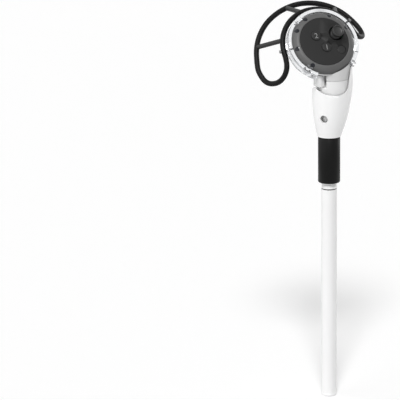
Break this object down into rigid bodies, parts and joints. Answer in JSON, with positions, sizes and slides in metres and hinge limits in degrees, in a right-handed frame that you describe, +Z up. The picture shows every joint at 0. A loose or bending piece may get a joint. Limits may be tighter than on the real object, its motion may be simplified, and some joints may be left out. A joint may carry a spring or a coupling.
{
  "type": "vr motion controller",
  "caption": "Tracked hand controller with thumbstick, buttons, trigger and grip button, seated in a long stick adapter with a tubular guard.",
  "frame": {"origin": "centre of the foot face at the bottom of the stick", "axes": "+Z up the stick towards the head, -Y out of the thumb side, +X to the user's right"},
  "size_m": [0.1186, 0.0825, 0.4071],
  "materials": {
    "white_tube": "satin white tube",
    "dark_seal": "matt black rubber",
    "white_shell": "semi-gloss moulded white",
    "steel": "plain steel",
    "foam_pad": "dense dark foam",
    "white_body": "fine matt white moulding",
    "pale_shroud": "semi-gloss pale grey moulding",
    "dark_window": "infrared window, glossy near-black",
    "milky_lens": "milky lamp lens",
    "emitter": "clear epoxy",
    "battery_wrap": "plain dark sleeve",
    "contact_metal": "plated brass",
    "smoke_ring": "smoky grey satin plastic",
    "flex_film": "amber polyimide film",
    "black_face": "fine matt black",
    "switch_metal": "tinned steel",
    "circuit_board": "green solder mask",
    "chip": "black epoxy",
    "grey_chassis": "grey structural plastic",
    "clear_ring": "clear moulded plastic",
    "black_guard": "satin charcoal plastic",
    "grey_strut": "satin grey plastic",
    "dark_screw": "blackened steel",
    "black_collar": "satin black",
    "black_button": "satin black",
    "black_rubber": "soft-touch rubber"
  },
  "bodies": {
    "stick_and_head": {"foot_cap": "white_tube", "shaft_tube": "white_tube", "seal_ring": "dark_seal", "threaded_ferrule": "white_tube", "collar_core": "white_shell", "core_screw": "steel", "holder_cup": "white_shell", "liner_pads": "foam_pad", "cup_pad": "foam_pad", "handle_body": "white_body", "neck_shroud": "pale_shroud", "battery_door": "white_body", "handle_lens": "milky_lens", "handle_emitter": "emitter", "battery_cell": "battery_wrap", "battery_contacts": "contact_metal", "battery_spring": "contact_metal", "haptic_motor": "steel", "grip_pin": "steel", "grip_spring": "steel", "sensor_ring": "smoke_ring", "sensor_windows": "dark_window", "ir_emitters": "emitter", "emitter_flex": "flex_film", "face_plate": "black_face", "tact_switches": "switch_metal", "main_board": "circuit_board", "board_chips": "chip", "head_chassis": "grey_chassis", "head_screws": "steel", "head_housing": "white_body", "stick_base": "black_button", "trigger_cheeks": "white_body", "trigger_pin": "steel", "trigger_spring": "steel", "cradle_screws": "steel", "cradle_ring": "clear_ring", "guard_frame": "black_guard", "guard_struts": "grey_strut", "guard_screws": "dark_screw"},
    "collar": {"collar": "black_collar"},
    "upper_button": {"upper_button": "black_button"},
    "lower_button": {"lower_button": "black_button"},
    "menu_button": {"menu_button": "black_button"},
    "stick_yoke": {"stick_yoke": "grey_chassis"},
    "stick_shaft": {"stick_shaft": "grey_chassis", "stick_boot": "black_rubber"},
    "stick_cap": {"stick_cap": "black_rubber"},
    "trigger": {"trigger": "black_button"},
    "grip_button": {"grip_button": "white_body"}
  },
  "joints": [
    {"name": "collar_turn", "type": "hinge", "parent": "stick_and_head", "child": "collar", "pos_m": [0, 0, 0.253], "axis": [0, 0, 1], "range_deg": [0, 360]},
    {"name": "upper_button_press", "type": "slide", "parent": "stick_and_head", "child": "upper_button", "axis": [0, 0.8434, -0.5373], "range_m": [0, 0.0008], "stiffness_N_per_m": 1500, "springref_m": -0.0003},
    {"name": "lower_button_press", "type": "slide", "parent": "stick_and_head", "child": "lower_button", "axis": [0, 0.8434, -0.5373], "range_m": [0, 0.0008], "stiffness_N_per_m": 1500, "springref_m": -0.0003},
    {"name": "menu_button_press", "type": "slide", "parent": "stick_and_head", "child": "menu_button", "axis": [0, 0.8434, -0.5373], "range_m": [0, 0.0008], "stiffness_N_per_m": 1500, "springref_m": -0.0003},
    {"name": "stick_tilt_up_down", "type": "hinge", "parent": "stick_and_head", "child": "stick_yoke", "pos_m": [0.00539, 0.00051, 0.37983], "axis": [1, 0, 0], "range_deg": [-18, 18], "stiffness_Nm_per_rad": 0.03},
    {"name": "stick_tilt_left_right", "type": "hinge", "parent": "stick_yoke", "child": "stick_shaft", "pos_m": [0.00539, 0.00051, 0.37983], "axis": [0, 0.5373, 0.8434], "range_deg": [-18, 18], "stiffness_Nm_per_rad": 0.03},
    {"name": "stick_press", "type": "slide", "parent": "stick_shaft", "child": "stick_cap", "axis": [0, 0.8434, -0.5373], "range_m": [0, 0.0006], "stiffness_N_per_m": 3000, "springref_m": -0.0002},
    {"name": "trigger_pull", "type": "hinge", "parent": "stick_and_head", "child": "trigger", "pos_m": [-0.002, 0.011, 0.3515], "axis": [-1, 0, 0], "range_deg": [0, 14], "stiffness_Nm_per_rad": 0.08, "springref_deg": -5.73},
    {"name": "grip_squeeze", "type": "hinge", "parent": "stick_and_head", "child": "grip_button", "pos_m": [-0.01343, -0.0068, 0.33805], "axis": [0, 0, 1], "range_deg": [0, 8], "stiffness_Nm_per_rad": 0.1, "springref_deg": -5.73}
  ]
}
